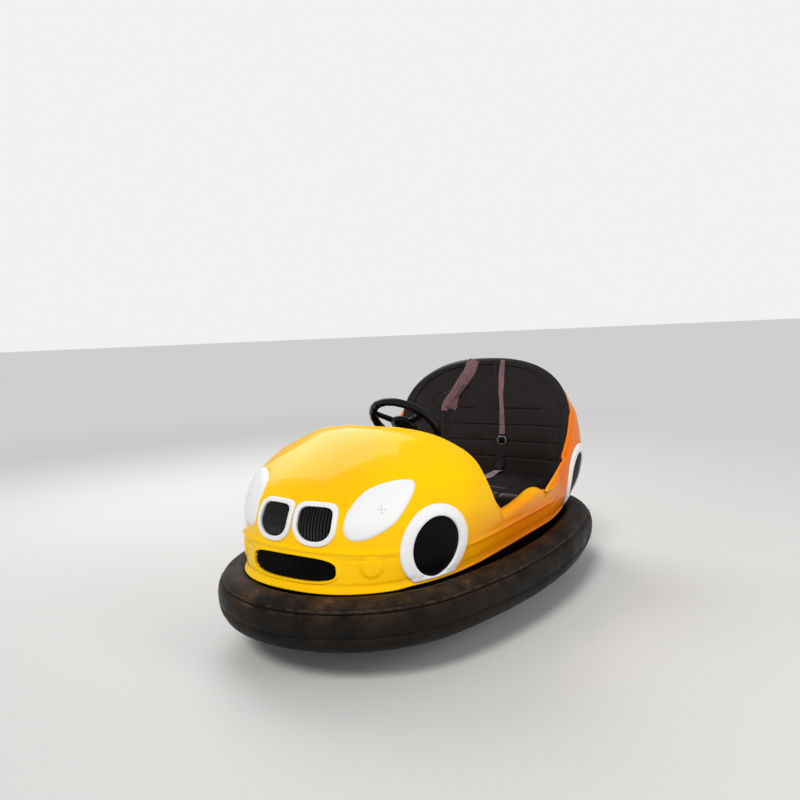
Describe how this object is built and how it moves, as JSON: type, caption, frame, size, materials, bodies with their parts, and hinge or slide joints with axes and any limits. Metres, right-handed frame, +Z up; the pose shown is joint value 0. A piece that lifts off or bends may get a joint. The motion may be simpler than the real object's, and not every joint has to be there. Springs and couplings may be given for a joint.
{
  "type": "bumper car",
  "caption": "Fairground bumper car: oval rubber bumper tyre, glossy moulded body with round nose grilles, open cockpit, bench seat and steered drive wheel.",
  "frame": {"origin": "middle of the car's outline on the floor that its wheels stand on", "axes": "+Z up, -Y to the front of the car, +X to the car's own left side"},
  "size_m": [1.174, 1.95, 0.96],
  "materials": {
    "body_shell": "glossy gelcoat over glass fibre",
    "bumper_rubber": "matt rubber, dusty and scuffed",
    "wheel_rubber": "solid rubber",
    "frame_steel": "dark grey paint",
    "black_paint": "satin black paint",
    "black_moulding": "black glass fibre and plastic",
    "white_trim": "white gloss",
    "red_lens": "red lens",
    "seat_hide": "black synthetic hide",
    "belt_webbing": "woven webbing",
    "bright_metal": "bright plated",
    "wheel_grip": "smooth black plastic"
  },
  "bodies": {
    "car": {"bumper_tyre": "bumper_rubber", "tyre_band": "frame_steel", "floor_pan": "frame_steel", "chassis_frame": "frame_steel", "body_lip": "body_shell", "front_body": "body_shell", "rear_body": "body_shell", "sill_left": "body_shell", "sill_right": "body_shell", "dash_panel": "black_moulding", "grille_left": "black_moulding", "grille_right": "black_moulding", "grille_frame_left": "white_trim", "grille_frame_right": "white_trim", "lower_grille": "black_moulding", "headlamp_left": "white_trim", "headlamp_right": "white_trim", "fog_caps": "body_shell", "tail_lamps": "red_lens", "front_trim_left": "white_trim", "front_trim_right": "white_trim", "front_disc_left": "black_moulding", "front_disc_right": "black_moulding", "rear_trim_left": "white_trim", "rear_trim_right": "white_trim", "rear_disc_left": "black_moulding", "rear_disc_right": "black_moulding", "seat_box": "black_moulding", "seat_cushion": "seat_hide", "seat_back": "seat_hide", "seat_belts": "belt_webbing", "belt_buckle": "bright_metal", "column_tube": "black_paint", "column_bracket": "black_paint", "pedal": "frame_steel", "drive_bridge": "frame_steel", "drive_cover": "black_moulding", "rear_axle": "frame_steel"},
    "steering_wheel": {"steering_hub": "wheel_grip", "steering_rim": "wheel_grip"},
    "drive_unit": {"drive_fork": "frame_steel", "drive_motor": "black_paint"},
    "front_wheel": {"drive_wheel": "wheel_rubber"},
    "rear_left": {"rear_wheel_left": "wheel_rubber"},
    "rear_right": {"rear_wheel_right": "wheel_rubber"}
  },
  "joints": [
    {"name": "drive_steer", "type": "hinge", "parent": "car", "child": "drive_unit", "pos_m": [0, -0.342, 0.226], "axis": [0, 0, 1], "continuous": true},
    {"name": "steering_turn", "type": "hinge", "parent": "car", "child": "steering_wheel", "pos_m": [0, -0.342, 0.521], "axis": [0, 0.7071, 0.7071], "continuous": true},
    {"name": "drive_roll", "type": "hinge", "parent": "drive_unit", "child": "front_wheel", "pos_m": [0, -0.342, 0.09], "axis": [1, 0, 0], "continuous": true},
    {"name": "rear_left_roll", "type": "hinge", "parent": "car", "child": "rear_left", "pos_m": [0.33, 0.52, 0.065], "axis": [1, 0, 0], "continuous": true},
    {"name": "rear_right_roll", "type": "hinge", "parent": "car", "child": "rear_right", "pos_m": [-0.33, 0.52, 0.065], "axis": [1, 0, 0], "continuous": true}
  ],
  "couplings": [
    {"joint": "steering_turn", "follows": "drive_steer", "ratio": 1}
  ]
}
